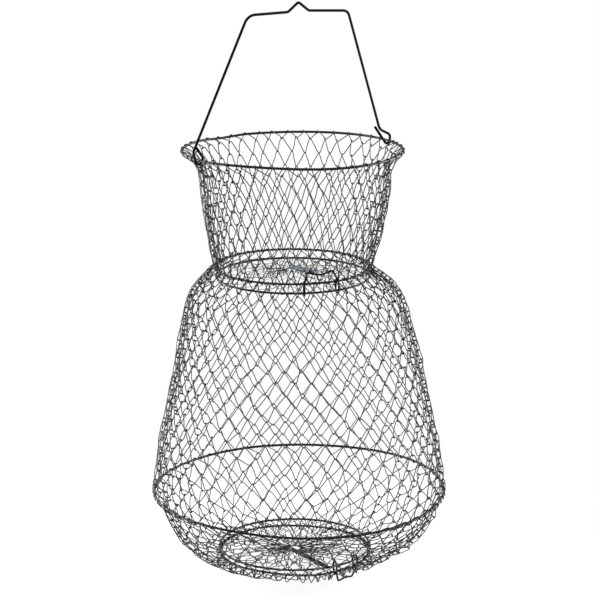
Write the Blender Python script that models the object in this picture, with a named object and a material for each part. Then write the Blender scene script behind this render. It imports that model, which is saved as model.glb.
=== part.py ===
"""Collapsible wire fish basket, hanging from its handle, in metres with +Z up.

The origin is where a hook or a line carries the handle's peak, and the basket hangs below it.
"""

import math

import bmesh
import bpy
from mathutils import Vector

# Levels of the rings, measured down from the origin.
TOP_RING_DROP = 0.1590
COLLAR_HEIGHT = 0.1304
BODY_HEIGHT = 0.2576
BOWL_DEPTH = 0.0734

# Rings: radius to the middle of the wire, and the wire's own radius.
TOP_RING_RADIUS = 0.1200
TOP_RING_WIRE = 0.0013
DOOR_SEAT_RADIUS = 0.0845
DOOR_SEAT_WIRE = 0.0011
DOOR_RING_RADIUS = 0.0845
DOOR_RING_WIRE = 0.0011
BIG_RING_RADIUS = 0.1628
BIG_RING_WIRE = 0.0013
TOP_DOOR_GAP = 0.0102
BOTTOM_DOOR_GAP = 0.0070

# Where the ring centres hang, beside the origin.
TOP_RING_X = -0.0063
NECK_X = -0.0063
BIG_RING_X = 0.0007
BOTTOM_X = -0.0043
RINGS_Y = 0.0023

# Net: zigzag wires hung one below another.
CELLS_AROUND = 24
COLLAR_ROWS = 9
BODY_ROWS = 20
BOWL_ROWS = 8
NET_STEP_IN = 0.0013
NET_OVERLAP = 0.0012
NET_OFF_LEVEL = 0.0016
BODY_OFF_LEVEL = 0.0008
NET_WIRE_OUT = 0.0009
NET_WIRE_IN = 0.00055
NET_WIRE_HALF = 0.0009
NET_TO_RING = 0.0003
COLLAR_LEAN = 66.5
BOWL_LEAN = 48.0
NET_SWAY = 0.0024
SWAY_POWER = 0.6
HEM_DROP = 0.0085

# The net between two rings: share of the way down, how far it stands out of the straight line.
COLLAR_OUTLINE = (
    (0.05, -0.0105), (0.11, -0.0142), (0.18, -0.0146), (0.30, -0.0114), (0.60, -0.0059),
    (0.83, -0.0037), (0.95, -0.0032),
)
BODY_OUTLINE = (
    (0.022, 0.0034), (0.038, 0.0050), (0.078, 0.0136), (0.122, 0.0187), (0.205, 0.0191),
    (0.36, 0.0161), (0.63, 0.0095), (0.81, 0.0053), (0.90, 0.0014),
)
BOWL_OUTLINE = (
    (0.05, -0.0038), (0.14, -0.0004), (0.22, 0.0046), (0.46, 0.0150), (0.69, 0.0216), (0.88, 0.0183),
    (0.97, 0.0113),
)

# Doors: a ring with a net, a wire bracket and a spring.
TOP_BRACKET_AZIMUTH = -66.0
BOTTOM_BRACKET_CELLS = 1
BRACKET_WIRE = 0.00095
BRACKET_RISE = 0.0120
BRACKET_DIP = 0.0030
BRACKET_TOP_HALF = 9.8
BRACKET_CLEARANCE = 0.0003
HINGE_CLEARANCE = 0.0006
BRACKET_BEND = 0.0022
DOOR_NET_CELLS = 16
DOOR_NET_RADII = (0.0622, 0.0425, 0.0250, 0.0085)
DOOR_NET_WIRE = 0.0011
DOOR_NET_TO_RING = 0.0005
TOP_DOOR_PEAK = 0.0095
BOTTOM_DOOR_PEAK = 0.0050
SPRING_WIRE = 0.0004
SPRING_RADIUS = 0.0021
SPRING_COIL_LENGTH = 0.0420
SPRING_TURNS = 11
SPRING_STEPS = 7
SPRING_LEAD = 0.0060
SPRING_CLEARANCE = 0.0004
SPRING_LEAST_GAP = 0.0004

# Handle: one wire with a peak in the middle and a hook at each end.
HANDLE_WIRE = 0.00125
HOOK_CLEARANCE = 0.0005
HANDLE_TURN_CELLS = 6.5
PEAK_HALF = 0.0132
PEAK_HEIGHT = 0.0092
LEFT_SHOULDER = (-0.0628, -0.0082)
RIGHT_SHOULDER = (0.0630, -0.0112)
PEAK_BEND = 0.0028
FOOT_BEND = 0.0060
SHOULDER_BEND = 0.0075

# Hooks, seen from outside the ring's middle: how far outside the ring's wire and how high above it.
LEFT_HOOK_BEND = (0.0081, 0.0118)
LEFT_HOOK_END = (0.0030, 0.0155)
RIGHT_HOOK_KINK = (-0.0105, 0.0150)
RIGHT_HOOK_END = (-0.0163, 0.0163)
HOOK_STRAIGHT = 0.0075
HOOK_RISE = 0.0069

RING_STEPS = 48
BEND_STEPS = 3
HOOK_STEPS = 6

top_ring_z = -TOP_RING_DROP
neck_z = top_ring_z - COLLAR_HEIGHT
big_ring_z = neck_z - BODY_HEIGHT
bottom_z = big_ring_z - BOWL_DEPTH
cell = 360.0 / CELLS_AROUND
handle_azimuth = TOP_BRACKET_AZIMUTH + HANDLE_TURN_CELLS * cell
bottom_bracket_azimuth = TOP_BRACKET_AZIMUTH + BOTTOM_BRACKET_CELLS * cell


def clear_scene():
    for obj in list(bpy.data.objects):
        bpy.data.objects.remove(obj, do_unlink=True)


def make_material(name, colour, roughness, metallic):
    material = bpy.data.materials.new(name)
    material.use_nodes = True
    shader = material.node_tree.nodes["Principled BSDF"]
    shader.inputs["Base Color"].default_value = (*colour, 1.0)
    shader.inputs["Roughness"].default_value = roughness
    shader.inputs["Metallic"].default_value = metallic
    return material


def centre_x(z):
    """The middle line of the hanging net, which sways to one side between the rings."""
    levels = (
        (top_ring_z, TOP_RING_X),
        (neck_z, NECK_X),
        (big_ring_z, BIG_RING_X),
        (bottom_z, BOTTOM_X),
    )
    if z >= levels[0][0]:
        return levels[0][1]
    for (high, x_high), (low, x_low) in zip(levels, levels[1:]):
        if z >= low:
            share = (high - z) / (high - low)
            return x_high + (x_low - x_high) * share + NET_SWAY * math.sin(math.pi * share**SWAY_POWER)
    return levels[-1][1]


def around(x, radius, azimuth, z):
    """A point on a level circle about the basket's middle line."""
    angle = math.radians(azimuth)
    return Vector((x + radius * math.cos(angle), RINGS_Y + radius * math.sin(angle), z))


def tube(name, points, wire, material, closed=False):
    """A round wire along points, as a curve with a bevel and closed ends."""
    curve = bpy.data.curves.new(name, "CURVE")
    curve.dimensions = "3D"
    curve.bevel_depth = wire
    curve.bevel_resolution = 1
    curve.use_fill_caps = True
    spline = curve.splines.new("POLY")
    spline.points.add(len(points) - 1)
    for point, place in zip(spline.points, points):
        point.co = (*place, 1.0)
    spline.use_cyclic_u = closed
    spline.use_smooth = True
    obj = bpy.data.objects.new(name, curve)
    obj.data.materials.append(material)
    bpy.context.scene.collection.objects.link(obj)
    return obj


def rounded(points, bends, steps=BEND_STEPS):
    """The line through points with each inner corner bent to the radius that bends gives it."""
    line = [points[0]]
    for before, corner, after, radius in zip(points, points[1:], points[2:], bends):
        to_before = (before - corner).normalized()
        to_after = (after - corner).normalized()
        half = to_before.angle(to_after) / 2
        if radius <= 0 or half > math.radians(88):
            line.append(corner)
            continue
        reach = radius / math.tan(half)
        middle = corner + (to_before + to_after).normalized() * (radius / math.sin(half))
        start = corner + to_before * reach - middle
        end = corner + to_after * reach - middle
        for step in range(steps + 1):
            line.append(middle + start.slerp(end, step / steps).normalized() * radius)
    line.append(points[-1])
    return line


def ring(name, x, radius, z, wire, material):
    points = [
        around(x, radius, TOP_BRACKET_AZIMUTH + 360.0 * step / RING_STEPS, z) for step in range(RING_STEPS)
    ]
    return tube(name, points, wire, material, closed=True)


def section_line(high, low, outline, high_radius, low_radius):
    """The net's outline from one ring's level to the next, as (z, radius)."""
    line = [(high, high_radius)]
    for share, out in outline:
        straight = high_radius + (low_radius - high_radius) * share
        line.append((high + (low - high) * share, straight + out))
    line.append((low, low_radius))
    return line


def walk(line, distance):
    """The (z, radius) a distance along a line, and the line's direction there."""
    for (z0, r0), (z1, r1) in zip(line, line[1:]):
        length = math.hypot(z1 - z0, r1 - r0)
        if distance <= length or (z1, r1) == line[-1]:
            share = distance / length
            along = ((z1 - z0) / length, (r1 - r0) / length)
            return z0 + (z1 - z0) * share, r0 + (r1 - r0) * share, along
        distance -= length
    raise ValueError("empty line")


def line_length(line):
    return sum(math.hypot(z1 - z0, r1 - r0) for (z0, r0), (z1, r1) in zip(line, line[1:]))


def wire_section(line, distance, step_out, azimuth):
    """The three corners of a net wire where it crosses the upright plane at azimuth."""
    z, radius, (along_z, along_r) = walk(line, distance)
    out_z, out_r = along_r, -along_z
    corners = []
    for out, along in (
        (NET_WIRE_OUT, 0.0),
        (-NET_WIRE_IN, -NET_WIRE_HALF),
        (-NET_WIRE_IN, NET_WIRE_HALF),
    ):
        corner_z = z + out_z * (step_out + out) + along_z * along
        corner_r = radius + out_r * (step_out + out) + along_r * along
        corners.append(around(centre_x(z), corner_r, azimuth, corner_z))
    return corners


def zigzag(name, line, top, bottom, bottom_out, first_bend, material):
    """One closed zigzag wire round the basket, between two distances along the outline."""
    mesh = bmesh.new()
    sections = []
    for bend in range(2 * CELLS_AROUND):
        azimuth = first_bend + bend * cell / 2
        distance, step_out = (bottom, bottom_out) if bend % 2 else (top, -NET_STEP_IN)
        corners = wire_section(line, distance, step_out, azimuth)
        sections.append([mesh.verts.new(corner) for corner in corners])
    for section, following in zip(sections, sections[1:] + sections[:1]):
        for a, b in ((0, 1), (1, 2), (2, 0)):
            mesh.faces.new((section[a], section[b], following[b], following[a]))
    bmesh.ops.recalc_face_normals(mesh, faces=mesh.faces)
    data = bpy.data.meshes.new(name)
    mesh.to_mesh(data)
    mesh.free()
    data.materials.append(material)
    obj = bpy.data.objects.new(name, data)
    bpy.context.scene.collection.objects.link(obj)
    return obj


def net_rows(prefix, line, rows, first_odd, last_out, material):
    """Zigzag wires that share a stretch of outline, each hung on the one above."""
    pitch = line_length(line) / rows
    for row in range(rows):
        odd = (row + first_odd) % 2
        last = row == rows - 1
        top = row * pitch - (NET_OVERLAP if row else 0.0)
        bottom = (row + 1) * pitch + (0.0 if last else NET_OVERLAP)
        bottom_out = last_out if last else NET_STEP_IN
        first_bend = TOP_BRACKET_AZIMUTH + odd * cell / 2
        zigzag(f"{prefix}_{row + 1:02d}", line, top, bottom, bottom_out, first_bend, material)


def net_radius(ring_radius, ring_wire, lean=0.0):
    """The net's radius at a ring: its bends lie against the outside, and its strands lean in under it."""
    clear = (ring_wire + NET_TO_RING) / math.cos(math.radians(lean))
    return ring_radius + clear + NET_WIRE_IN + NET_STEP_IN


def make_nets(material):
    top_radius = net_radius(TOP_RING_RADIUS, TOP_RING_WIRE, COLLAR_LEAN)
    neck_radius = net_radius(DOOR_SEAT_RADIUS, DOOR_SEAT_WIRE)
    big_radius = net_radius(BIG_RING_RADIUS, BIG_RING_WIRE)
    collar = section_line(top_ring_z, neck_z + NET_OFF_LEVEL, COLLAR_OUTLINE, top_radius, neck_radius)
    net_rows("collar_row", collar, COLLAR_ROWS, 0, -NET_STEP_IN, material)
    body = section_line(
        neck_z - BODY_OFF_LEVEL, big_ring_z + NET_OFF_LEVEL, BODY_OUTLINE, neck_radius, big_radius
    )
    net_rows("body_row", body, BODY_ROWS, COLLAR_ROWS % 2, -NET_STEP_IN, material)
    hem_radius = neck_radius - NET_STEP_IN
    bowl_radius = net_radius(BIG_RING_RADIUS, BIG_RING_WIRE, BOWL_LEAN)
    bowl = section_line(
        big_ring_z - NET_OFF_LEVEL, bottom_z + NET_OFF_LEVEL, BOWL_OUTLINE, bowl_radius, hem_radius
    )
    odd = (COLLAR_ROWS + BODY_ROWS) % 2
    net_rows("bowl_row", bowl, BOWL_ROWS, odd, 0.0, material)
    hem_z = bottom_z - NET_OFF_LEVEL
    hem = [(hem_z, neck_radius), (hem_z - HEM_DROP, neck_radius)]
    net_rows("hem_row", hem, 1, (odd + BOWL_ROWS) % 2, NET_STEP_IN, material)


def touch(point, reach, side):
    """The angle at which a line from point touches the circle of a hook, on one side of it."""
    s, z = point
    return math.atan2(z, s) + side * math.acos(reach / math.hypot(s, z))


def hook_line(leg, end, reach):
    """A hook round the ring's wire: down along the leg's points, round below, up along the end's points."""
    first = touch(leg[-1], reach, -1)
    last = touch(end[0], reach, 1) - 2 * math.pi
    turns = [first + (last - first) * step / HOOK_STEPS for step in range(HOOK_STEPS + 1)]
    return [*leg, *((reach * math.cos(turn), reach * math.sin(turn)) for turn in turns), *end]


def make_handle(material):
    angle = math.radians(handle_azimuth)
    along = Vector((math.cos(angle), math.sin(angle), 0.0))
    ring_middle = Vector((TOP_RING_X, RINGS_Y, 0.0))
    middle_s = ring_middle.dot(along)
    beside = (ring_middle - along * middle_s).length
    half_chord = math.sqrt(TOP_RING_RADIUS**2 - beside**2)
    reach = HANDLE_WIRE + TOP_RING_WIRE + HOOK_CLEARANCE

    def place(s, z):
        return along * s + Vector((0.0, 0.0, z))

    def hook(side, leg, end):
        """One end of the wire, hooked round the ring where the handle's plane crosses it."""
        crossing = middle_s + side * half_chord
        return [place(crossing + side * s, top_ring_z + z) for s, z in hook_line(leg, end, reach)]

    peak_z = HANDLE_WIRE
    foot_z = peak_z - PEAK_HEIGHT
    left_hook = hook(-1, [LEFT_HOOK_BEND], [(-reach, HOOK_STRAIGHT), LEFT_HOOK_END])
    right_hook = hook(1, [RIGHT_HOOK_KINK, (reach, HOOK_RISE)], [RIGHT_HOOK_END])
    corners = [
        left_hook[0],
        place(*LEFT_SHOULDER),
        place(-PEAK_HALF, foot_z),
        place(0.0, peak_z),
        place(PEAK_HALF, foot_z),
        place(*RIGHT_SHOULDER),
        right_hook[0],
    ]
    bends = [SHOULDER_BEND, FOOT_BEND, PEAK_BEND, FOOT_BEND, SHOULDER_BEND]
    middle = rounded(corners, bends)
    rise = peak_z - max(point.z for point in middle)
    for point in middle[1:-1]:
        if abs(point.dot(along)) < PEAK_HALF / 2:
            point.z += rise
    tube("handle", list(reversed(left_hook))[:-1] + middle + right_hook[1:], HANDLE_WIRE, material)


def make_bracket(name, x, seat_z, door_gap, side, azimuth, material):
    """The bent wire that carries a door's hinge loops and the spring's far end."""
    near = BRACKET_WIRE + DOOR_SEAT_WIRE + BRACKET_CLEARANCE
    wide = BRACKET_WIRE + DOOR_RING_WIRE + HINGE_CLEARANCE

    def place(turn, out, up):
        return around(x, DOOR_SEAT_RADIUS + out, azimuth + turn, seat_z + side * up)

    def leg(turn):
        """From the free end over the seat ring, down round the door ring and up again."""
        points = []
        for step in range(HOOK_STEPS // 2 + 1):
            bend = math.pi / 2 + math.pi / 2 * step / (HOOK_STEPS // 2)
            points.append(place(turn, near * math.cos(bend), near * math.sin(bend)))
        for step in range(HOOK_STEPS + 1):
            bend = math.pi + math.pi * step / HOOK_STEPS
            points.append(place(turn, wide * math.cos(bend), wide * math.sin(bend) - door_gap))
        points.append(place(turn, near, 0.0))
        return points

    left = leg(-cell)
    right = leg(cell)
    corners = [
        left[-1],
        place(-BRACKET_TOP_HALF, 0.0, BRACKET_RISE),
        place(0.0, 0.0, BRACKET_RISE - BRACKET_DIP),
        place(BRACKET_TOP_HALF, 0.0, BRACKET_RISE),
        right[-1],
    ]
    middle = rounded(corners, [BRACKET_BEND] * 3)
    return tube(name, left[:-1] + middle + list(reversed(right))[1:], BRACKET_WIRE, material)


def make_door_net(name, x, door_z, peak, side, azimuth, material):
    """The net that fills a door, drawn towards its middle by the spring."""
    outer = DOOR_RING_RADIUS - DOOR_RING_WIRE - DOOR_NET_TO_RING - DOOR_NET_WIRE / 2
    radii = (outer, *DOOR_NET_RADII)
    step = 360.0 / DOOR_NET_CELLS
    mesh = bmesh.new()
    circles = []
    for count, radius in enumerate(radii):
        z = door_z + side * peak * (1 - radius / outer)
        circles.append(
            [
                mesh.verts.new(around(x, radius, azimuth + (k + count % 2 / 2) * step, z))
                for k in range(DOOR_NET_CELLS)
            ]
        )
    for count in range(len(radii) - 2):
        for k in range(DOOR_NET_CELLS):
            before = (k - 1 + count % 2) % DOOR_NET_CELLS
            after = (k + count % 2) % DOOR_NET_CELLS
            middle = circles[count + 1]
            mesh.faces.new((circles[count][k], middle[before], circles[count + 2][k], middle[after]))
    bmesh.ops.recalc_face_normals(mesh, faces=mesh.faces)
    data = bpy.data.meshes.new(name)
    mesh.to_mesh(data)
    mesh.free()
    data.materials.append(material)
    obj = bpy.data.objects.new(name, data)
    bpy.context.scene.collection.objects.link(obj)
    wires = obj.modifiers.new("wires", "WIREFRAME")
    wires.thickness = DOOR_NET_WIRE
    wires.use_even_offset = False
    wires.use_boundary = True
    wires.use_replace = True
    return obj


def least_gap(points, wire, apart):
    """The least distance between parts of a wire that lie at least apart points from each other."""
    nearest = min(
        (points[a] - points[b]).length
        for a in range(len(points))
        for b in range(a + apart, len(points))
    )
    return nearest - 2 * wire


def make_spring(name, start, anchor, up, material):
    """A coil from the door's middle outwards, then a loop of the same wire round the bracket's dip."""
    along = (anchor - start).normalized()
    across = (up - along * up.dot(along)).normalized()
    beside = along.cross(across)
    loop = BRACKET_WIRE + SPRING_WIRE + SPRING_CLEARANCE
    coil = []
    steps = SPRING_TURNS * SPRING_STEPS
    for step in range(steps + 1):
        turn = 2 * math.pi * step / SPRING_STEPS
        centre = start + along * (SPRING_LEAD + SPRING_COIL_LENGTH * step / steps)
        coil.append(centre + (across * math.cos(turn) + beside * math.sin(turn)) * SPRING_RADIUS)
    after_coil = start + along * (SPRING_LEAD + SPRING_COIL_LENGTH + SPRING_LEAD / 2)
    bend = []
    for step in range(HOOK_STEPS + 1):
        turn = math.pi * step / HOOK_STEPS
        bend.append(anchor + (across * math.cos(turn) + along * math.sin(turn)) * loop)
    points = [start, start + along * SPRING_LEAD / 2, *coil, *bend, after_coil - across * loop]
    gap = least_gap(coil, SPRING_WIRE, SPRING_STEPS - 1)
    print(f"{name}: least gap to itself {gap * 1000:.2f} mm")
    if gap < SPRING_LEAST_GAP:
        raise ValueError(f"{name}: its turns touch")
    return tube(name, points, SPRING_WIRE, material)


def make_door(prefix, x, seat_z, door_gap, peak, side, azimuth, wire, net, spring):
    """A door ring with its net, the bracket on the seat ring, and the spring between them."""
    door_z = seat_z - side * door_gap
    ring(f"{prefix}_door_ring", x, DOOR_RING_RADIUS, door_z, DOOR_RING_WIRE, wire)
    make_door_net(f"{prefix}_door_net", x, door_z, peak, side, azimuth, net)
    make_bracket(f"{prefix}_door_bracket", x, seat_z, door_gap, side, azimuth, wire)
    start = around(x, -DOOR_NET_RADII[-1], azimuth, door_z + side * (peak + SPRING_RADIUS))
    anchor = around(x, DOOR_SEAT_RADIUS, azimuth, seat_z + side * (BRACKET_RISE - BRACKET_DIP))
    make_spring(f"{prefix}_door_spring", start, anchor, Vector((0.0, 0.0, side)), spring)


def main():
    clear_scene()
    wire = make_material("black_wire", (0.022, 0.022, 0.024), 0.42, 0.85)
    net = make_material("net_wire", (0.035, 0.035, 0.037), 0.50, 0.80)
    spring = make_material("spring_wire", (0.30, 0.33, 0.37), 0.38, 0.95)
    make_handle(wire)
    ring("top_ring", TOP_RING_X, TOP_RING_RADIUS, top_ring_z, TOP_RING_WIRE, wire)
    ring("neck_ring", NECK_X, DOOR_SEAT_RADIUS, neck_z, DOOR_SEAT_WIRE, wire)
    ring("big_ring", BIG_RING_X, BIG_RING_RADIUS, big_ring_z, BIG_RING_WIRE, wire)
    ring("bottom_ring", BOTTOM_X, DOOR_SEAT_RADIUS, bottom_z, DOOR_SEAT_WIRE, wire)
    make_nets(net)
    make_door(
        "top", NECK_X, neck_z, TOP_DOOR_GAP, TOP_DOOR_PEAK, 1, TOP_BRACKET_AZIMUTH, wire, net, spring
    )
    make_door(
        "bottom", BOTTOM_X, bottom_z, BOTTOM_DOOR_GAP, BOTTOM_DOOR_PEAK, -1,
        bottom_bracket_azimuth, wire, net, spring,
    )


main()
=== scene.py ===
"""Looks of the collapsible wire fish basket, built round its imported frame, in metres with +Z up."""

import math
import random
from typing import NamedTuple

import bpy
import numpy as np
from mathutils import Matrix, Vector


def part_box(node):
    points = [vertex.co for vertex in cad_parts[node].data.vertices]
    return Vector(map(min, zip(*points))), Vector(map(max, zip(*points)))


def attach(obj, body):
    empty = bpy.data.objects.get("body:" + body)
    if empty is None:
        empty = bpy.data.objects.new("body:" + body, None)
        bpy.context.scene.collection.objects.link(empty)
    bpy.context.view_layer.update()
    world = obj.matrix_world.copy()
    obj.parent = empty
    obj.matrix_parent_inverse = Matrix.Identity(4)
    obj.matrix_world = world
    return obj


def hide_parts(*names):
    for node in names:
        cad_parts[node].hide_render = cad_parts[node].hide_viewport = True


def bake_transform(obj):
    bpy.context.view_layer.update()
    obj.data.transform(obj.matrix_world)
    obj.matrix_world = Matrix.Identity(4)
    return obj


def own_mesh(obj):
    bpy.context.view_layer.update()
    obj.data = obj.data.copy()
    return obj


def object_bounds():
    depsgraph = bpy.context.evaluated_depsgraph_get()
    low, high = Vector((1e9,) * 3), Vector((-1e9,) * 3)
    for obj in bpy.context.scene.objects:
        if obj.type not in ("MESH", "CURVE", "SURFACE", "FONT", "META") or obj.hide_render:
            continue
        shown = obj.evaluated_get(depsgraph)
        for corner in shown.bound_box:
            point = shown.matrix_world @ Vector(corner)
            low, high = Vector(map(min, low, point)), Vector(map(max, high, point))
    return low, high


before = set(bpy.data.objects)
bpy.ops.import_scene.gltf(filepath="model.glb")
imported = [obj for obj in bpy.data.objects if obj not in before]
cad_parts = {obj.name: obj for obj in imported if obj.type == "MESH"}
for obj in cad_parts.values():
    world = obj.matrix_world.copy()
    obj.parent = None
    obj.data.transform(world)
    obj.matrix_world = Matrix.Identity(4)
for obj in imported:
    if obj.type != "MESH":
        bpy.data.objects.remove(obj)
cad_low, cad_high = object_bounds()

WHITE = (1.0, 1.0, 1.0, 1.0)

# The hoops of the frame, and the body that each belongs to.
TOP, NECK, BIG, BOTTOM = "top_ring", "neck_ring", "big_ring", "bottom_ring"
RING_BODIES = {
    TOP: "collar",
    NECK: "neck",
    BIG: "big",
    BOTTOM: "bottom",
    "top_door_ring": "top_door",
    "bottom_door_ring": "bottom_door",
}

# The photograph's camera: where it stands, how many degrees it looks down, and its lens and sensor in mm.
CAMERA_PLACE = (0.0017, -2.5415, 0.3087)
CAMERA_DOWN = 14.05
CAMERA_LENS = 142.15
CAMERA_SENSOR = 36.0

# Softboxes: name, place, the point that each faces, width and height, and power in watts.
LAMPS = (
    ("left", (-2.0, 1.0, -0.1), (-1.0, 1.0, -0.1), (3.0, 1.0), 150.0),
    ("right", (2.0, 1.0, -0.1), (1.0, 1.0, -0.1), (3.0, 1.0), 150.0),
    ("top", (0.0, 0.2, 2.2), (0.0, 0.0, -0.3), (1.6, 1.6), 20.0),
)
# How strongly the white surroundings light the basket.
WORLD_LIGHT = 0.55

# The floor: how far it lies below the basket, half its width, and its coat. It glows white to the camera, but
# less near the basket, so that the shadow shows. Between the two distances the glow grows to its full share.
FLOOR_DROP = 0.0065
FLOOR_HALF = 15.0
FLOOR_COLOUR = (0.92, 0.93, 0.95, 1.0)
FLOOR_ROUGHNESS = 0.9
GLOW_NEAR = 0.70
SHADOW_NEAR = 0.12
SHADOW_FAR = 0.42

# How the wires are meshed: sides round each kind of wire, and steps along their lines and bends.
NET_SIDES = 6
SPRING_SIDES = 8
BRACKET_SIDES = 12
THICK_SIDES = 14
RING_STEPS = 240
ROUND_STEPS = 8
OUTLINE_STEPS = 6
BEND_STEPS = 6
RING_BEND_STEPS = 7
# A wire's domed end: how far out each added circle stands, and its radius, in radii of the wire.
DOME = ((0.38, 0.75), (0.5, 0.35))
# Below this a cross product is too short to start a wire's sides from.
SHORT_CROSS = 0.2
# Corners whose half angle is wider than this, in degrees, stay as they are.
STRAIGHT_HALF = 88
# Half the stretch of outline over which its slope is measured.
SLOPE_REACH = 0.001

# The hoops' wire is drawn this many times as thick as the solids'.
RING_THICKENING = 1.25
# How the hoops are bent out of level: azimuth, half width and drop of each bend, in degrees and metres.
RING_BENDS = {
    TOP: ((115.0, 85.0, 0.0019), (250.0, 50.0, -0.0022), (132.0, 18.0, 0.0014)),
    BIG: ((295.0, 55.0, 0.0025), (30.0, 55.0, -0.0025), (232.0, 45.0, -0.0010), (145.0, 40.0, 0.0009)),
    BOTTOM: ((245.0, 45.0, -0.0023), (80.0, 50.0, 0.0012)),
}

# The net: zigzag wires, wound like flattened coils and hooked one below another. Its cells round the basket,
# the azimuth of the first in degrees, and the wire's radius, by which every wire here is given.
CELLS = 43
FIRST_CELL = 218.4
NET_WIRE = 0.00056
# How far a turn reaches beyond its line of hook points, and how far in and out its two strands stand.
HOOK_REACH = 0.00058
HOOK_DEPTH = 0.0022
# The most that a turn's depth takes of its cell's width.
DEPTH_SHARE = 0.22
# A turn's half width and rise, as shares of the pull on its curve.
TURN_WIDTH = 0.55
TURN_RISE = 0.375
# The least share of its climb that a strand keeps between two turns.
LEAST_CLIMB = 0.25
# Turns and strands shape one another, so they are worked out this many times.
SHAPE_PASSES = 3
# Points added along a strand: the share of its length, and the share of its bow there.
STRAND_POINTS = ((0.3, 0.8), (0.7, 0.7))
# On a hoop: gap to its wire, half the width of a turn, and the room left beside each hook of the handle.
NET_TO_RING = 0.00008
RING_SPREAD = 0.0007
HOOK_ROOM = 0.0141

# How unevenly the net hangs: along the wire, down, in and out, and how far its strands bow.
SHIFT_ALONG = 0.0009
SHIFT_DOWN = 0.0009
SHIFT_OUT = 0.0006
STRAND_BOW = 0.0005

# The hem: the drop, depth and flare of its loops, how uneven they are, and how many times that the shortest
# loop falls short.
HEM_DROP = 0.0085
HEM_DEPTH = 0.0026
HEM_FLARE = 0.0006
HEM_UNEVEN = 0.0016
HEM_SHORTEST = 2.2
# How far round from the net's first cell the hem's hooks stand, in cells.
HEM_SHIFT = 0.25

# How far outside the middle of each hoop's wire the net passes it.
NET_OFF_RING = {TOP: 0.0045, NECK: 0.00325, BIG: 0.00345, BOTTOM: 0.00195}
# Share of the way down between two hoops, and how far the net stands out of the straight line.
COLLAR_OUTLINE = (
    (0.012, -0.0060), (0.08, -0.0135), (0.18, -0.0146), (0.30, -0.0114), (0.60, -0.0059),
    (0.83, -0.0037), (0.95, -0.0032),
)
BODY_OUTLINE = (
    (0.022, 0.0034), (0.050, 0.0062), (0.078, 0.0136), (0.122, 0.0187), (0.205, 0.0191),
    (0.36, 0.0161), (0.63, 0.0095), (0.81, 0.0053), (0.93, -0.0004),
)
BOWL_OUTLINE = (
    (0.08, -0.0042), (0.22, 0.0046), (0.46, 0.0148), (0.69, 0.0206), (0.88, 0.0168), (0.97, 0.0098),
)
# The hanging net's middle sways to one side between two hoops, the most at a height that the power sets.
NET_SWAY = 0.0030
SWAY_POWER = 0.6


class Section(NamedTuple):
    """One section of the net, between two hoops.

    travel is how far the joint draws the two hoops together, which nothing here uses; shift is how many cells
    further round than the collar the section starts, and loose is how unevenly it hangs.
    """

    name: str
    body: str
    rows: int
    upper: str
    lower: str
    outline: tuple
    joint: str
    travel: float
    shift: float
    loose: float


SECTIONS = (
    Section(
        name="collar_row", body="collar", rows=9, upper=TOP, lower=NECK, outline=COLLAR_OUTLINE,
        joint="collar_collapse", travel=0.110, shift=0.0, loose=1.0,
    ),
    Section(
        name="body_row", body="neck", rows=20, upper=NECK, lower=BIG, outline=BODY_OUTLINE,
        joint="body_collapse", travel=0.220, shift=0.0, loose=1.0,
    ),
    Section(
        name="bowl_row", body="big", rows=8, upper=BIG, lower=BOTTOM, outline=BOWL_OUTLINE,
        joint="bowl_collapse", travel=0.060, shift=0.5, loose=1.7,
    ),
)

# The handle: the azimuth of its plane, its wire, and how much thicker than the solid's that wire is drawn.
HANDLE_AZIMUTH = 31.5
HANDLE_WIRE = 0.0015
HANDLE_EXTRA = 0.00025
# The peak in its middle: half its width, its height, and the radii of the bends at its point and its feet.
PEAK_HALF = 0.0132
PEAK_HEIGHT = 0.0092
PEAK_BEND = 0.0030
FOOT_BEND = 0.0060
# Corners of the handle in its plane: along, up, and the radius of the bend there.
LEFT_SHOULDER = (-0.0628, -0.0082, 0.0140)
RIGHT_SHOULDER = (0.0630, -0.0112, 0.0085)
# Corners of the hooks, in the same way, but outwards and up from the top hoop's wire.
LEFT_HOOK_ARM = (0.0064, 0.0102, 0.0038)
LEFT_HOOK_TURN = (-0.0055, 0.0032, 0.0030)
LEFT_HOOK_END = (0.0031, 0.0150, 0.0)
RIGHT_HOOK_KINK = (-0.0102, 0.0133, 0.0110)
RIGHT_HOOK_RISE = (0.0036, 0.0062, 0.0036)
RIGHT_HOOK_END = (-0.0163, 0.0163, 0.0)
# The gap between a hook's round and the top hoop, and the steps round it.
HOOK_CLEARANCE = 0.0009
HOOK_STEPS = 12


class Door(NamedTuple):
    """What tells the two doors apart.

    seat is the hoop that the door closes on, and body the one that its bracket belongs to. side is 1 where
    the door's net rises above its hoop and -1 where it hangs below, and peak is how far it does. The bracket
    stands at the azimuth, with its legs and outer corners so many degrees to either side of that. loop is the
    height of the legs' loops against their width.
    """

    name: str
    seat: str
    body: str
    side: int
    azimuth: float
    leg_half: float
    left_half: float
    right_half: float
    loop: float
    peak: float
    cells: int
    net_wire: float

    @property
    def moving(self):
        """The name of the door's own body, with which its nodes' names begin."""
        return f"{self.name}_door"

    @property
    def ring(self):
        """The node of the door's own hoop."""
        return f"{self.name}_door_ring"


TOP_DOOR = Door(
    name="top", seat=NECK, body="neck", side=1, azimuth=-68.4,
    leg_half=13.1, left_half=11.3, right_half=9.3, loop=1.0,
    peak=0.0060, cells=22, net_wire=0.00028,
)
BOTTOM_DOOR = Door(
    name="bottom", seat=BOTTOM, body="bottom", side=-1, azimuth=-47.5,
    leg_half=10.4, left_half=7.1, right_half=7.1, loop=1.7,
    peak=0.0050, cells=38, net_wire=0.00042,
)

# Both doors, in degrees: how far they swing, and how far beside the bracket their axis crosses the hoop.
DOOR_SWING = 65.0
HINGE_HALF = 15.0

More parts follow.
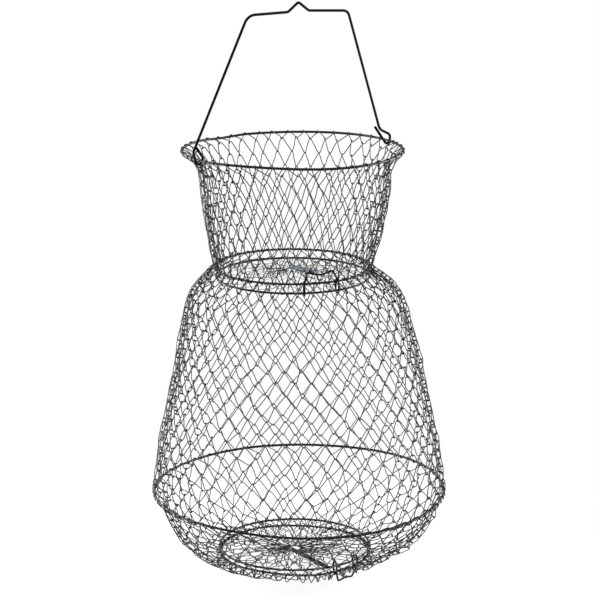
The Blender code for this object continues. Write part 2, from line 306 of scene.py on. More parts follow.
# The brackets' wire: how high it rises, how far it dips and leans inwards, its bends, its gaps to the seat's
# and the door's hoop, and the steps over the one and round the other.
BRACKET_WIRE = 0.00105
BRACKET_RISE = 0.0120
BRACKET_DIP = 0.0030
BRACKET_LEAN = 0.0012
BRACKET_BEND = 0.0022
BRACKET_CLEARANCE = 0.0003
HINGE_CLEARANCE = 0.0006
OVER_STEPS = 8
LOOP_STEPS = 16

# The doors' nets: rows, the radius of the innermost line, and the room left beside the bracket's legs.
DOOR_ROWS = 6
DOOR_MIDDLE = 0.0070
DOOR_ROOM = 0.0048
# How far round from the bracket their first cells stand, in degrees.
DOOR_FIRST_CELL = 3.0
# Their outline from the hoop inwards: share of the hoop's radius, and share of the peak.
DOOR_OUTLINE = ((1.0, 0.0), (0.62, 0.30), (0.33, 0.62))
# How unevenly they hang against the large net, how much less so at the middle, and how far their strands bow.
DOOR_LOOSE = 2.6
DOOR_STEADIER = 0.6
DOOR_NET_BOW = 0.0012

# The springs: a straight lead, a close-wound coil, and a long loop of the same wire round the bracket's dip.
SPRING_WIRE = 0.0004
SPRING_RADIUS = 0.0021
SPRING_COIL_LENGTH = 0.0590
SPRING_TURNS = 60
SPRING_STEPS = 14
SPRING_LEAD = 0.0060
SPRING_CLEARANCE = 0.0004
FAR_STEPS = 12
# How far beyond the door's middle, seen from the bracket, the spring starts.
SPRING_START = 0.0110
# Where along the lead, the loop's run out to the bracket and its run back there are points.
LEAD_SHARES = (0.0, 0.25, 0.5)
RUN_SHARES = (0.15, 0.4, 0.7)
BACK_SHARES = (0.3, 0.6, 1.0)

# Coats: scale and detail of each noise, and between which values of the broad one rubbed enamel begins.
BROAD_NOISE = (55.0, 4.0)
FINE_NOISE = (900.0, 3.0)
ZINC_NOISE = (160.0, 5.0)
RUBBED_FROM = 0.60
RUBBED_TO = 0.72
# How strong the coats' relief is, how deep the zinc's, and the zinc's least and most roughness.
COAT_RELIEF = 0.35
ZINC_RELIEF = 0.3
ZINC_RELIEF_DEPTH = 0.00005
ZINC_ROUGHNESS = (0.28, 0.55)
ZINC_METALLIC = 0.9

SEED = 7
draws = random.Random(SEED)


class Ring(NamedTuple):
    """A hoop of the frame: its middle, the radius to the middle of its wire, and the wire's radius."""

    middle: Vector
    radius: float
    wire: float


def ring_facts(node):
    """A hoop's sizes, from its box in the frame."""
    low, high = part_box(node)
    wire = (high.z - low.z) / 2
    return Ring((low + high) / 2, (high.x - low.x) / 2 - wire, wire)


RINGS = {node: ring_facts(node) for node in RING_BODIES}


def ring_drop(node, azimuth):
    """How far a hoop lies below its level at an azimuth in degrees."""
    drop = 0.0
    for middle, half, depth in RING_BENDS.get(node, ()):
        off = (azimuth - middle + 180) % 360 - 180
        if abs(off) < half:
            drop += depth * math.cos(math.pi / 2 * off / half) ** 2
    return drop


def ring_point(node, radius, azimuth, z):
    """A point on a level circle about a hoop's middle; azimuth is in degrees."""
    middle = RINGS[node].middle
    angle = math.radians(azimuth)
    return Vector((middle.x + radius * math.cos(angle), middle.y + radius * math.sin(angle), z))


def make_mesh(name, points, faces, material):
    """A smooth-shaded object, linked into the scene."""
    data = bpy.data.meshes.new(name)
    data.from_pydata([tuple(point) for point in points], [], faces)
    data.materials.append(material)
    data.shade_smooth()
    obj = bpy.data.objects.new(name, data)
    bpy.context.scene.collection.objects.link(obj)
    return obj


def unit(vectors):
    """The same directions, each of length 1."""
    return vectors / np.linalg.norm(vectors, axis=-1, keepdims=True)


def carried_normals(along):
    """A direction across the wire at each point, carried along it with as little turning as possible."""
    start = np.cross(along[0], (0.0, 0.0, 1.0))
    if np.linalg.norm(start) < SHORT_CROSS:
        start = np.cross(along[0], (1.0, 0.0, 0.0))
    normals = [unit(start)]
    for direction in along[1:]:
        turned = normals[-1] - direction * np.dot(normals[-1], direction)
        normals.append(unit(turned))
    return np.array(normals)


def tube_mesh(name, line, wire, material, sides, closed=False):
    """A round wire along a line of points, with domed ends where it isn't closed."""
    points = np.array([tuple(point) for point in line])
    radii = np.full(len(points), wire)
    if not closed:
        first, last = unit(points[0] - points[1]), unit(points[-1] - points[-2])
        start = [points[0] + first * wire * reach for reach, _ in reversed(DOME)]
        end = [points[-1] + last * wire * reach for reach, _ in DOME]
        widths = [width for _, width in DOME]
        points = np.vstack((start, points, end))
        radii = np.concatenate((widths[::-1], np.ones(len(line)), widths)) * wire
    ahead = np.roll(points, -1, axis=0) - points
    behind = points - np.roll(points, 1, axis=0)
    if not closed:
        ahead[-1], behind[0] = behind[-1], ahead[0]
    along = unit(unit(ahead) + unit(behind))
    normals = carried_normals(along)
    across = np.cross(along, normals)
    # Round a closed wire the sides come back turned by some angle, which is spread over its whole length.
    twist = 0.0
    if closed:
        carried = unit(normals[-1] - along[0] * np.dot(normals[-1], along[0]))
        twist = math.atan2(np.dot(carried, across[0]), np.dot(carried, normals[0]))
    count = len(points)
    turns = np.linspace(0, 2 * math.pi, sides, endpoint=False)
    angles = turns[None, :] - twist * np.arange(count)[:, None] / count
    circle = np.cos(angles)[..., None] * normals[:, None] + np.sin(angles)[..., None] * across[:, None]
    shell = (points[:, None] + circle * radii[:, None, None]).reshape(-1, 3)
    faces = []
    for a in range(count if closed else count - 1):
        b = (a + 1) % count
        for side in range(sides):
            following = (side + 1) % sides
            faces.append((a * sides + side, a * sides + following, b * sides + following, b * sides + side))
    if not closed:
        faces.append(tuple(reversed(range(sides))))
        faces.append(tuple(range((count - 1) * sides, count * sides)))
    return make_mesh(name, shell, faces, material)


def smooth_line(points, steps):
    """A curve through all the points, in so many steps between each two."""
    line = []
    for place in range(len(points) - 1):
        b, c = points[place], points[place + 1]
        a = points[place - 1] if place else b * 2 - c
        d = points[place + 2] if place + 2 < len(points) else c * 2 - b
        for step in range(steps):
            t = step / steps
            line.append(
                b + (c - a) * (t / 2) + (a * 2 - b * 5 + c * 4 - d) * (t * t / 2)
                + (b * 3 - a - c * 3 + d) * (t**3 / 2)
            )
    line.append(points[-1])
    return line


def rounded(corners):
    """The line through (point, radius) corners, with each inner one bent to its radius."""
    points = [point for point, _ in corners]
    line = [points[0]]
    for before, (corner, radius), after in zip(points, corners[1:], points[2:]):
        to_before = (before - corner).normalized()
        to_after = (after - corner).normalized()
        half = to_before.angle(to_after) / 2
        if radius <= 0 or half > math.radians(STRAIGHT_HALF):
            line.append(corner)
            continue
        reach = radius / math.tan(half)
        middle = corner + (to_before + to_after).normalized() * (radius / math.sin(half))
        start = corner + to_before * reach - middle
        end = corner + to_after * reach - middle
        for step in range(ROUND_STEPS + 1):
            line.append(middle + start.slerp(end, step / ROUND_STEPS).normalized() * radius)
    line.append(points[-1])
    return line


class Wall:
    """A surface of revolution that the net follows, measured in distance along its outline.

    The outline is a list of (level, radius) points, and centre gives the surface's middle at a level.
    """

    def __init__(self, outline, centre):
        points = smooth_line([Vector((radius, level, 0.0)) for level, radius in outline], OUTLINE_STEPS)
        self.radii = np.array([point.x for point in points])
        self.levels = np.array([point.y for point in points])
        steps = np.hypot(np.diff(self.radii), np.diff(self.levels))
        self.marks = np.concatenate(([0.0], np.cumsum(steps)))
        self.length = float(self.marks[-1])
        self.centre = centre

    def outline_point(self, distance):
        """Radius and level at a distance within the outline."""
        radius = float(np.interp(distance, self.marks, self.radii))
        level = float(np.interp(distance, self.marks, self.levels))
        return radius, level

    def at(self, distance):
        """Radius, level, and the outward direction as (radius, level) at a distance."""
        inside = min(max(distance, 0.0), self.length)
        radius, level = self.outline_point(inside)
        above = self.outline_point(max(inside - SLOPE_REACH, 0.0))
        below = self.outline_point(min(inside + SLOPE_REACH, self.length))
        down_r, down_z = below[0] - above[0], below[1] - above[1]
        length = math.hypot(down_r, down_z)
        down_r, down_z = down_r / length, down_z / length
        beyond = distance - inside
        return radius + down_r * beyond, level + down_z * beyond, (-down_z, down_r)

    def place(self, azimuth, distance, out):
        """A point of the net; azimuth is in radians."""
        radius, level, (out_r, out_z) = self.at(distance)
        x, y = self.centre(level)
        reach = radius + out_r * out
        return Vector((x + reach * math.cos(azimuth), y + reach * math.sin(azimuth), level + out_z * out))


def centre_line(upper, lower):
    """A function that gives the middle (x, y) of the hanging net at a level between two hoops."""
    high, low = RINGS[upper].middle, RINGS[lower].middle

    def centre(level):
        share = min(max((high.z - level) / (high.z - low.z), 0.0), 1.0)
        middle = high.lerp(low, share)
        return middle.x + NET_SWAY * math.sin(math.pi * share**SWAY_POWER), middle.y

    return centre


def section_wall(section):
    """The wall of a section of the net, from one hoop down to the next."""
    upper, lower = RINGS[section.upper], RINGS[section.lower]
    high, low = upper.middle.z, lower.middle.z
    start = upper.radius + NET_OFF_RING[section.upper]
    end = lower.radius + NET_OFF_RING[section.lower]
    between = [
        (high + (low - high) * share, start + (end - start) * share + out) for share, out in section.outline
    ]
    return Wall([(high, start), *between, (low, end)], centre_line(section.upper, section.lower))


def ring_bend(node, azimuth, arrive, leave):
    """The wire's way over a hoop's wire, between the (radius, level) that it comes from and goes on to."""
    middle, radius, wire = RINGS[node]
    reach = wire * RING_THICKENING + NET_WIRE + NET_TO_RING

    def tangent(target, side):
        off_r, off_z = target[0] - radius, target[1] - middle.z
        open_half = math.acos(min(reach / math.hypot(off_r, off_z), 1.0))
        return math.atan2(off_z, off_r) + side * open_half

    first = tangent(arrive, -1)
    sweep = (first - tangent(leave, 1)) % (2 * math.pi)
    points = []
    for step in range(RING_BEND_STEPS + 1):
        share = step / RING_BEND_STEPS
        turn = first - sweep * share
        at = azimuth + RING_SPREAD * (2 * share - 1) / radius
        reach_out = radius + reach * math.cos(turn)
        points.append(Vector((
            middle.x + reach_out * math.cos(at),
            middle.y + reach_out * math.sin(at),
            middle.z + reach * math.sin(turn) - ring_drop(node, math.degrees(at)),
        )))
    return points


class Bend:
    """One turn of a net wire: from the wall's one face to the other, round a hook point."""

    def __init__(self, wall, point, side, ring, cell, depth):
        self.azimuth, self.distance, self.out = point
        self.wall, self.side, self.ring = wall, side, ring
        self.scale = wall.at(self.distance)[0]
        self.level = -self.distance + (0.0 if ring else side * HOOK_REACH)
        self.depth = 0.0 if ring else min(depth, cell * self.scale * DEPTH_SHARE)
        # A cubic curve is close to a half circle when its ends are pulled by 4/3 of the circle's radius.
        self.pull = self.depth * 4 / 3
        self.half_width = RING_SPREAD if ring else 0.0
        self.rise = 0.0

    def shape(self, arriving, leaving):
        """Sizes the turn between two strand directions, each (along, up)."""
        if self.ring:
            return
        self.half_width = TURN_WIDTH * self.pull * (abs(arriving[0]) + abs(leaving[0]))
        self.rise = TURN_RISE * self.pull * (abs(arriving[1]) + abs(leaving[1]))

    def section(self, side):
        """Radius and level of the turn's end, on its arriving side (-1) or leaving side (1)."""
        radius, level, (out_r, out_z) = self.wall.at(-(self.level - self.side * self.rise))
        out = self.out + side * self.side * self.depth
        return radius + out_r * out, level + out_z * out

    def points(self, arriving, leaving):
        """A cubic curve from the arriving strand to the leaving one, through the hook point."""
        low, high = -self.half_width, self.half_width
        up = -self.side * self.rise
        out = self.side * self.depth
        controls = np.array((
            (low, up, -out),
            (low + arriving[0] * self.pull, up + arriving[1] * self.pull, -out),
            (high - leaving[0] * self.pull, up - leaving[1] * self.pull, out),
            (high, up, out),
        ))
        points = []
        for step in range(BEND_STEPS + 1):
            t = step / BEND_STEPS
            weights = np.array(((1 - t) ** 3, 3 * t * (1 - t) ** 2, 3 * t * t * (1 - t), t**3))
            along, rise, off = weights @ controls
            azimuth = self.azimuth + along / self.scale
            points.append(self.wall.place(azimuth, -(self.level + rise), self.out + off))
        return points


def strand_directions(bends):
    """The direction (along, up) of the strand from each turn to the next."""
    strands = []
    for bend, following in zip(bends, bends[1:] + bends[:1]):
        ahead = (following.azimuth - bend.azimuth) % (2 * math.pi)
        along = ahead * (bend.scale + following.scale) / 2 - bend.half_width - following.half_width
        up = following.level - bend.level
        up = math.copysign(max(abs(up) - bend.rise - following.rise, abs(up) * LEAST_CLIMB), up)
        length = math.hypot(along, up)
        strands.append((along / length, up / length))
    return strands


def net_wire(wall, tops, bottoms, top_ring=None, bottom_ring=None, depth=HOOK_DEPTH, bow=STRAND_BOW):
    """The closed wire of one row through hook points (azimuth, distance, out), tops and bottoms in turn.

    It is wound like a flattened coil: down along the wall's outer face and up along its inner face.
    """
    cell = 2 * math.pi / len(tops)
    bends = []
    for top, bottom in zip(tops, bottoms):
        bends.append(Bend(wall, top, 1, top_ring, cell, depth))
        bends.append(Bend(wall, bottom, -1, bottom_ring, cell, depth))
    for _ in range(SHAPE_PASSES):
        strands = strand_directions(bends)
        for index, bend in enumerate(bends):
            bend.shape(strands[index - 1], strands[index])
    turns = []
    for index, bend in enumerate(bends):
        if bend.ring:
            before, after = bends[index - 1], bends[(index + 1) % len(bends)]
            turns.append(ring_bend(bend.ring, bend.azimuth, before.section(1), after.section(-1)))
        else:
            turns.append(bend.points(strands[index - 1], strands[index]))
    line = []
    for turn, following in zip(turns, turns[1:] + turns[:1]):
        line += turn
        start, end = turn[-1], following[0]
        sag = Vector([draws.uniform(-1, 1) * bow for _ in range(3)])
        for share, sagged in STRAND_POINTS:
            line.append(start.lerp(end, share) + sag * sagged)
    return line


def uneven_line(count, loose):
    """How far each hook point of one line round the net lies off its even place: along, down and out."""
    return [
        tuple(draws.gauss(0, 1) * shift * loose for shift in (SHIFT_ALONG, SHIFT_DOWN, SHIFT_OUT))
        for _ in range(count)
    ]


def hook_points(wall, number, rows, shifts, first):
    """Where the hook points of one line round the net lie: (azimuth, distance, out).

    Every other line stands half a cell further round; first is in degrees.
    """
    pitch = wall.length / rows
    cell = 2 * math.pi / len(shifts)
    offset = (number % 2) / 2
    points = []
    for k, (along, down, out) in enumerate(shifts):
        distance = number * pitch + down
        azimuth = math.radians(first) + (k + offset) * cell + along / wall.at(distance)[0]
        points.append((azimuth, distance, out))
    return points


def pushed_aside(points, hooks, room):
    """The same points, those nearer to a hook than room moved away from it along the hoop; all in radians."""
    moved = []
    for azimuth, distance, out in points:
        for hook in hooks:
            off = (azimuth - hook + math.pi) % (2 * math.pi) - math.pi
            if abs(off) < room:
                azimuth += math.copysign(room, off) - off
        moved.append((azimuth, distance, out))
    return moved


def net_rows(wall, lines, upper, lower=None, bow=STRAND_BOW):
    """The wires between lines of hook points: the first on the upper hoop, and the last on the lower one."""
    rows = len(lines) - 1
    wires = []
    for row in range(rows):
        # Each wire goes from a top on to the bottom half a cell further round.
        ahead = row % 2
        bottoms = lines[row + 1][ahead:] + lines[row + 1][:ahead]
        top_ring = upper if row == 0 else None
        bottom_ring = lower if row == rows - 1 else None
        wires.append(net_wire(wall, lines[row], bottoms, top_ring, bottom_ring, bow=bow))
    return wires


def make_net(section, material):
    """One section of the net: rows of zigzag wire, each hooked on the one above, between two hoops."""
    wall = section_wall(section)
    first = FIRST_CELL + section.shift * 360.0 / CELLS
    lines = []
    for number in range(section.rows + 1):
        if number in (0, section.rows):
            shifts = [(along, 0.0, 0.0) for along, _, _ in uneven_line(CELLS, 1.0)]
        else:
            shifts = uneven_line(CELLS, section.loose)
        lines.append(hook_points(wall, number, section.rows, shifts, first))
    if section.upper == TOP:
        lines[0] = pushed_aside(lines[0], handle_hooks(), HOOK_ROOM / RINGS[TOP].radius)
    for row, line in enumerate(net_rows(wall, lines, section.upper, section.lower), start=1):
        name = f"{section.name}_{row:02d}"
        piece = tube_mesh(f"{name}_wire", line, NET_WIRE, material, NET_SIDES, closed=True)
        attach(piece, section.body)
        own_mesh(piece)
        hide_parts(name)


def make_hem(material):
    """The last wire of the net: hooked over the bottom hoop, with its loops hanging free."""
    middle, radius, wire = RINGS[BOTTOM]
    hang = radius + wire + NET_WIRE
    wall = Wall([(middle.z, hang), (middle.z - HEM_DROP, hang + HEM_FLARE)], centre_line(BIG, BOTTOM))
    cell = 2 * math.pi / CELLS
    tops, bottoms = [], []
    for k in range(CELLS):
        azimuth = math.radians(FIRST_CELL) + (k + HEM_SHIFT) * cell
        tops.append((azimuth + draws.gauss(0, 1) * SHIFT_ALONG / radius, 0.0, 0.0))
        drop = HEM_DROP - min(abs(draws.gauss(0, 1)), HEM_SHORTEST) * HEM_UNEVEN
        drop += ring_drop(BOTTOM, math.degrees(azimuth + cell / 2))
        aside = draws.gauss(0, 1) * HEM_UNEVEN / radius
        bottoms.append((azimuth + cell / 2 + aside, drop - HOOK_REACH, draws.uniform(-1, 1) * HEM_UNEVEN))
    line = net_wire(wall, tops, bottoms, top_ring=BOTTOM, depth=HEM_DEPTH)
    piece = tube_mesh("hem_row_01_wire", line, NET_WIRE, material, NET_SIDES, closed=True)
    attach(piece, "bottom")
    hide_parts("hem_row_01")


def make_ring(node, body, material):
    """A hoop of round wire, butt-welded where its ends meet."""
    middle, radius, wire = RINGS[node]
    line = []
    for step in range(RING_STEPS):
        azimuth = 360.0 * step / RING_STEPS
        line.append(ring_point(node, radius, azimuth, middle.z - ring_drop(node, azimuth)))
    piece = tube_mesh(f"{node}_hoop", line, wire * RING_THICKENING, material, THICK_SIDES, closed=True)
    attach(piece, body)
    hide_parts(node)


def touch(corner, reach, side):
    """The angle at which a line from a corner touches the circle of a hook, on one side of it."""
    along, up, _ = corner
    return math.atan2(up, along) + side * math.acos(reach / math.hypot(along, up))


def hook_line(leg, end, reach):
    """A hook round the hoop's wire: down along the leg's corners, round below, up along the end's corners."""
    first = touch(leg[-1], reach, -1)
    last = touch(end[0], reach, 1) - 2 * math.pi
    turns = [first + (last - first) * step / HOOK_STEPS for step in range(HOOK_STEPS + 1)]
    return [*leg, *((reach * math.cos(turn), reach * math.sin(turn), 0.0) for turn in turns), *end]


def handle_plane():
    """The handle's direction, where the top hoop's middle lies along it, and how far from there the hooks."""
    angle = math.radians(HANDLE_AZIMUTH)
    along = Vector((math.cos(angle), math.sin(angle), 0.0))
    middle, radius, _ = RINGS[TOP]
    level_middle = Vector((middle.x, middle.y, 0.0))
    middle_s = level_middle.dot(along)
    beside = (level_middle - along * middle_s).length
    return along, middle_s, math.sqrt(radius**2 - beside**2)


def handle_hooks():
    """The azimuths about the top hoop's middle, in radians, at which the handle hooks on."""
    along, middle_s, half_chord = handle_plane()
    middle = RINGS[TOP].middle
    hooks = []
    for side in (-1, 1):
        place = along * (middle_s + side * half_chord)
        hooks.append(math.atan2(place.y - middle.y, place.x - middle.x))
    return hooks


def make_handle(material):
    """One bent wire: a hook round the top hoop at each end, two shoulders, and a peak between them."""
    along, middle_s, half_chord = handle_plane()
    middle, _, wire = RINGS[TOP]
    reach = HANDLE_WIRE + wire + HOOK_CLEARANCE

    def corner(s, z, bend):
        return along * s + Vector((0.0, 0.0, z)), bend

    def hook(side, leg, end):
        crossing = middle_s + side * half_chord
        return [corner(crossing + side * s, middle.z + z, bend) for s, z, bend in hook_line(leg, end, reach)]

    peak_z = HANDLE_WIRE - HANDLE_EXTRA
    foot_z = peak_z - PEAK_HEIGHT
    line = rounded([
        *reversed(hook(-1, [LEFT_HOOK_ARM], [LEFT_HOOK_TURN, LEFT_HOOK_END])),
        corner(*LEFT_SHOULDER),
        corner(-PEAK_HALF, foot_z, FOOT_BEND),
        corner(0.0, peak_z, PEAK_BEND),
        corner(PEAK_HALF, foot_z, FOOT_BEND),
        corner(*RIGHT_SHOULDER),
        *hook(1, [RIGHT_HOOK_KINK, RIGHT_HOOK_RISE], [RIGHT_HOOK_END]),
    ])
    # The bend cuts the peak's corner, so the peak is raised back to its height.
    rise = peak_z - max(point.z for point in line)
    for point in line:
        if abs(point.dot(along)) < PEAK_HALF / 2:
            point.z += rise
    piece = tube_mesh("handle_wire", line, HANDLE_WIRE, material, THICK_SIDES)
    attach(piece, "handle")
    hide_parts("handle")


def make_bracket(door, material):
    """The bent wire that carries a door's hinge loops and the spring's far end."""
    seat, ring = RINGS[door.seat], RINGS[door.ring]
    near = BRACKET_WIRE + seat.wire * RING_THICKENING + BRACKET_CLEARANCE
    # Where the legs hold it, the door's hoop lies beyond its axis, and the loops leave room for its swing.
    beyond = seat.radius * (math.cos(math.radians(door.leg_half)) - math.cos(math.radians(HINGE_HALF)))
    wide = BRACKET_WIRE + ring.wire * RING_THICKENING + HINGE_CLEARANCE
    wide += beyond * math.sin(math.radians(DOOR_SWING / 2))
    loop_in = beyond * (1 - math.cos(math.radians(DOOR_SWING))) / 2
    loop_up = beyond * math.sin(math.radians(DOOR_SWING)) / 2 - abs(seat.middle.z - ring.middle.z)

    def place(turn, out, up):
        return ring_point(door.seat, seat.radius + out, door.azimuth + turn, seat.middle.z + door.side * up)

    def leg(turn):
        """From the free end over the seat's hoop, down round the door's hoop and up again."""
        points = []
        for step in range(OVER_STEPS + 1):
            bend = math.pi / 2 + math.pi / 2 * step / OVER_STEPS
            points.append(place(turn, near * math.cos(bend), near * math.sin(bend)))
        for step in range(LOOP_STEPS + 1):
            bend = math.pi + math.pi * step / LOOP_STEPS
            high = wide * door.loop * math.sin(bend)
            points.append(place(turn, wide * math.cos(bend) - loop_in, high + loop_up))
        points.append(place(turn, near, 0.0))
        return points

    left, right = leg(-door.leg_half), leg(door.leg_half)
    across = rounded([
        (left[-1], 0.0),
        (place(-door.left_half, -BRACKET_LEAN, BRACKET_RISE), BRACKET_BEND),
        (place(0.0, 0.0, BRACKET_RISE - BRACKET_DIP), BRACKET_BEND),
        (place(door.right_half, -BRACKET_LEAN, BRACKET_RISE), BRACKET_BEND),
        (right[-1], 0.0),
    ])
    line = [*left[:-1], *across, *reversed(right[:-1])]
    piece = tube_mesh(f"{door.moving}_bracket_wire", line, BRACKET_WIRE, material, BRACKET_SIDES)
    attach(piece, door.body)
    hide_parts(f"{door.moving}_bracket")


def make_door_net(door, material):
    """The net that fills a door: rows hooked one inside another, drawn to the middle by the spring."""
    middle, radius, _ = RINGS[door.ring]
    rise = door.side * door.peak
    outline = [(middle.z + rise * high, radius * wide) for wide, high in DOOR_OUTLINE]
    wall = Wall([*outline, (middle.z + rise, DOOR_MIDDLE)], lambda level: (middle.x, middle.y))
    lines = []
    for number in range(DOOR_ROWS + 1):
        loose = DOOR_LOOSE * (1 - DOOR_STEADIER * number / DOOR_ROWS)
        shifts = uneven_line(door.cells, loose)
        if number in (0, DOOR_ROWS):
            shifts = [(0.0, 0.0, 0.0)] * door.cells
        lines.append(hook_points(wall, number, DOOR_ROWS, shifts, door.azimuth + DOOR_FIRST_CELL))
    legs = [math.radians(door.azimuth + turn) for turn in (-door.leg_half, door.leg_half)]
    lines[0] = pushed_aside(lines[0], legs, DOOR_ROOM / radius)
    for row, line in enumerate(net_rows(wall, lines, door.ring, bow=DOOR_NET_BOW), start=1):
        piece = tube_mesh(f"{door.moving}_net_{row}", line, door.net_wire, material, NET_SIDES, closed=True)
        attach(piece, door.moving)
        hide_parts(f"{door.moving}_net")


def make_spring(door, material):
    """A coil near the door's middle, then a long loop of the same wire round the bracket's dip."""
    seat = RINGS[door.seat]
    foot_z = RINGS[door.ring].middle.z + door.side * (door.peak + SPRING_RADIUS)
    start = ring_point(door.ring, -SPRING_START, door.azimuth, foot_z)
    dip_z = seat.middle.z + door.side * (BRACKET_RISE - BRACKET_DIP)
    anchor = ring_point(door.seat, seat.radius, door.azimuth, dip_z)
    along = (anchor - start).normalized()
    up = Vector((0.0, 0.0, door.side))
    across = (up - along * up.dot(along)).normalized()
    beside = along.cross(across)
    steps = SPRING_TURNS * SPRING_STEPS
    coil = []
    for step in range(steps + 1):
        turn = 2 * math.pi * step / SPRING_STEPS
        centre = start + along * (SPRING_LEAD + SPRING_COIL_LENGTH * step / steps)
        coil.append(centre + (across * math.cos(turn) + beside * math.sin(turn)) * SPRING_RADIUS)
    loop = BRACKET_WIRE + SPRING_WIRE + SPRING_CLEARANCE
    bend = []
    for step in range(FAR_STEPS + 1):
        turn = math.pi * step / FAR_STEPS
        bend.append(anchor + across * loop * math.cos(turn) + along * loop * math.sin(turn))
    after_coil = start + along * (SPRING_LEAD + SPRING_COIL_LENGTH + SPRING_LEAD / 2)
    lead = [start + along * SPRING_LEAD * share for share in LEAD_SHARES]
    run = [coil[-1].lerp(bend[0], share) for share in RUN_SHARES]
    back = [bend[-1].lerp(after_coil - across * loop, share) for share in BACK_SHARES]
    line = [*lead, *coil, *run, *bend, *back]
    piece = tube_mesh(f"{door.moving}_spring_wire", line, SPRING_WIRE, material, SPRING_SIDES)
    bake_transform(piece)
    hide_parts(f"{door.moving}_spring")


class Shading:
    """The nodes of a material or of the world, with short ways to add and link them."""

    def __init__(self, owner):
        owner.use_nodes = True
        self.nodes, self.links = owner.node_tree.nodes, owner.node_tree.links

    def connect(self, node, inputs):
        """Gives each input its value, or links it where the value is another node's output."""
        for name, value in inputs.items():
            if isinstance(value, bpy.types.NodeSocket):
                self.links.new(value, node.inputs[name])
            else:
                node.inputs[name].default_value = value

    def add(self, kind, inputs, **settings):
        """A new node with its settings and inputs."""
        node = self.nodes.new(kind)
        for name, value in settings.items():
            setattr(node, name, value)
        self.connect(node, inputs)
        return node

    def noise(self, scale, detail):
        """A noise that stays with the object, about 0.5 on average."""
        place = self.add("ShaderNodeTexCoord", {}).outputs["Object"]
        pattern = self.add("ShaderNodeTexNoise", {"Vector": place, "Scale": scale, "Detail": detail})
        return pattern.outputs["Fac"]

    def mapped(self, value, low, high, start=0.0, end=1.0, **settings):
        """The value, laid out so that start becomes low and end becomes high."""
        span = {"From Min": start, "From Max": end, "To Min": low, "To Max": high}
        return self.add("ShaderNodeMapRange", {"Value": value, **span}, **settings).outputs["Result"]

    def combined(self, operation, first, second):
        """Two values, put together by one operation."""
        return self.add("ShaderNodeMath", {0: first, 1: second}, operation=operation).outputs["Value"]

    def coat(self, dark, light, share, patches, rough, relief, strength, depth):
        """Gives the surface two mixed colours, roughness that changes in patches, and fine relief."""
        colours = {"A": (*dark, 1.0), "B": (*light, 1.0), "Factor": share}
        colour = self.add("ShaderNodeMix", colours, data_type="RGBA")
        bump = self.add("ShaderNodeBump", {"Strength": strength, "Distance": depth, "Height": relief})
        self.connect(self.nodes["Principled BSDF"], {
            "Base Color": colour.outputs["Result"],
            "Roughness": self.mapped(patches, *rough),
            "Normal": bump.outputs["Normal"],
        })


def coated_wire(name, dark, light, rough, depth, wear, shine):
    """Enamelled wire: an uneven black coat, rubbed greyer in small places."""
    material = bpy.data.materials.new(name)
    shading = Shading(material)
    broad = shading.noise(*BROAD_NOISE)
    fine = shading.noise(*FINE_NOISE)
    rubbed = shading.mapped(broad, 0.0, wear, RUBBED_FROM, RUBBED_TO)
    speckled = shading.combined("MULTIPLY", rubbed, fine)
    shading.coat(dark, light, speckled, broad, rough, fine, COAT_RELIEF, depth)
    shading.connect(shading.nodes["Principled BSDF"], {"Specular IOR Level": shine})
    return material


def zinc_wire(name, dark, light):
    """Zinc plated spring wire: slightly blue, and duller in patches."""
    material = bpy.data.materials.new(name)
    shading = Shading(material)
    patches = shading.noise(*ZINC_NOISE)
    shading.coat(dark, light, patches, patches, ZINC_ROUGHNESS, patches, ZINC_RELIEF, ZINC_RELIEF_DEPTH)
    shading.connect(shading.nodes["Principled BSDF"], {"Metallic": ZINC_METALLIC})
    return material


def seen_directly(shading):
    """1 for rays that come straight from the camera or by way of a mirror or glass, and 0 for the rest."""
    path = shading.add("ShaderNodeLightPath", {})
    either = shading.combined("MAXIMUM", path.outputs["Is Camera Ray"], path.outputs["Is Glossy Ray"])
    return shading.combined("MAXIMUM", either, path.outputs["Is Transmission Ray"])


def make_world():
    """Plain white surroundings, which light the basket less strongly than they show."""
    world = bpy.data.worlds.new("studio")
    bpy.context.scene.world = world
    shading = Shading(world)
    strength = shading.mapped(seen_directly(shading), WORLD_LIGHT, 1.0)
    shading.connect(shading.nodes["Background"], {"Color": WHITE, "Strength": strength})


def make_floor():
    """A wide white floor that keeps a faint shadow."""
    material = bpy.data.materials.new("floor_white")
    shading = Shading(material)
    shader = shading.nodes["Principled BSDF"]
    shading.connect(shader, {"Base Color": FLOOR_COLOUR, "Roughness": FLOOR_ROUGHNESS})
    place = shading.add("ShaderNodeTexCoord", {}).outputs["Object"]
    distance = shading.add("ShaderNodeVectorMath", {0: place}, operation="LENGTH").outputs["Value"]
    fade = shading.mapped(
        distance, GLOW_NEAR, 1.0, start=SHADOW_NEAR, end=SHADOW_FAR, interpolation_type="SMOOTHSTEP"
    )
    share = shading.combined("MULTIPLY", seen_directly(shading), fade)
    glow = shading.add("ShaderNodeEmission", {"Color": WHITE, "Strength": 1.0})
    surfaces = {"Fac": share, 1: shader.outputs["BSDF"], 2: glow.outputs["Emission"]}
    mixed = shading.add("ShaderNodeMixShader", surfaces)
    shading.connect(shading.nodes["Material Output"], {"Surface": mixed.outputs["Shader"]})
    half = FLOOR_HALF
    corners = [(-half, -half, 0.0), (half, -half, 0.0), (half, half, 0.0), (-half, half, 0.0)]
    floor = make_mesh("floor", corners, [(0, 1, 2, 3)], material)
    floor.location.z = cad_low.z - FLOOR_DROP


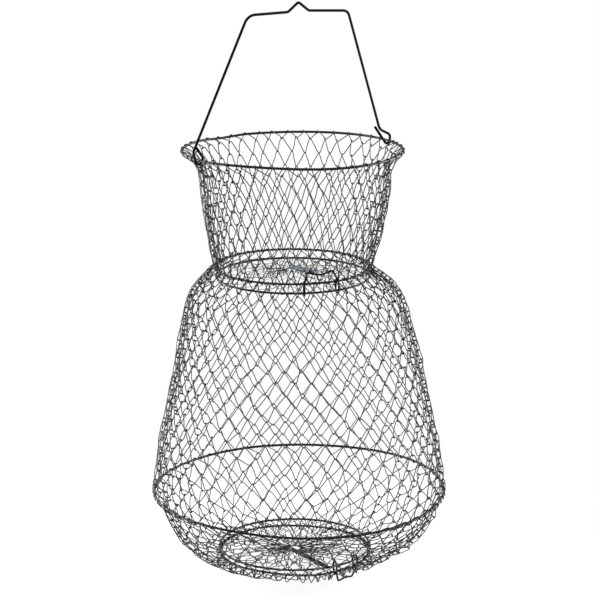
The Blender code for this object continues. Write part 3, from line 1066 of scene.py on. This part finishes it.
def make_lamp(name, place, aim, size, power):
    """A softbox of a width and a height, turned to face a point."""
    data = bpy.data.lights.new(name, "AREA")
    data.shape = "RECTANGLE"
    data.size, data.size_y = size
    data.energy = power
    lamp = bpy.data.objects.new(name, data)
    lamp.location = place
    lamp.rotation_mode = "QUATERNION"
    lamp.rotation_quaternion = (Vector(aim) - Vector(place)).to_track_quat("-Z", "Y")
    bpy.context.scene.collection.objects.link(lamp)


def make_camera():
    """The photograph's camera, which looks along +Y and down."""
    data = bpy.data.cameras.new("camera")
    data.sensor_width = CAMERA_SENSOR
    data.lens = CAMERA_LENS
    camera = bpy.data.objects.new("camera", data)
    camera.location = CAMERA_PLACE
    camera.rotation_euler = (math.radians(90.0 - CAMERA_DOWN), 0.0, 0.0)
    bpy.context.scene.collection.objects.link(camera)
    bpy.context.scene.camera = camera


def main():
    """Makes the materials, the basket's pieces, the floor, the lights and the camera."""
    black = coated_wire(
        "black_wire", dark=(0.003, 0.003, 0.0035), light=(0.030, 0.029, 0.028),
        rough=(0.22, 0.36), depth=0.00004, wear=0.9, shine=0.16,
    )
    grey = coated_wire(
        "net_wire", dark=(0.005, 0.005, 0.0055), light=(0.040, 0.039, 0.037),
        rough=(0.26, 0.42), depth=0.00003, wear=1.0, shine=0.26,
    )
    # The handle and the brackets take the black enamel again with darker colours: painted shade.
    deep = coated_wire(
        "shaded_black_wire", dark=(0.0015, 0.0015, 0.0018), light=(0.016, 0.015, 0.015),
        rough=(0.26, 0.40), depth=0.00004, wear=0.8, shine=0.05,
    )
    zinc = zinc_wire("spring_wire", dark=(0.045, 0.055, 0.072), light=(0.150, 0.165, 0.190))
    # The bottom door's spring is the same zinc with darker colours: painted shade.
    shaded_zinc = zinc_wire("shaded_spring_wire", dark=(0.012, 0.014, 0.020), light=(0.050, 0.056, 0.070))
    make_handle(deep)
    for node, body in RING_BODIES.items():
        make_ring(node, body, black)
    for section in SECTIONS:
        make_net(section, grey)
    make_hem(grey)
    for door in (TOP_DOOR, BOTTOM_DOOR):
        make_bracket(door, deep)
    for door in (TOP_DOOR, BOTTOM_DOOR):
        make_door_net(door, grey)
    make_spring(TOP_DOOR, zinc)
    make_spring(BOTTOM_DOOR, shaded_zinc)
    make_floor()
    make_world()
    for lamp in LAMPS:
        make_lamp(*lamp)
    make_camera()
    bpy.context.scene.view_settings.view_transform = "Standard"


main()
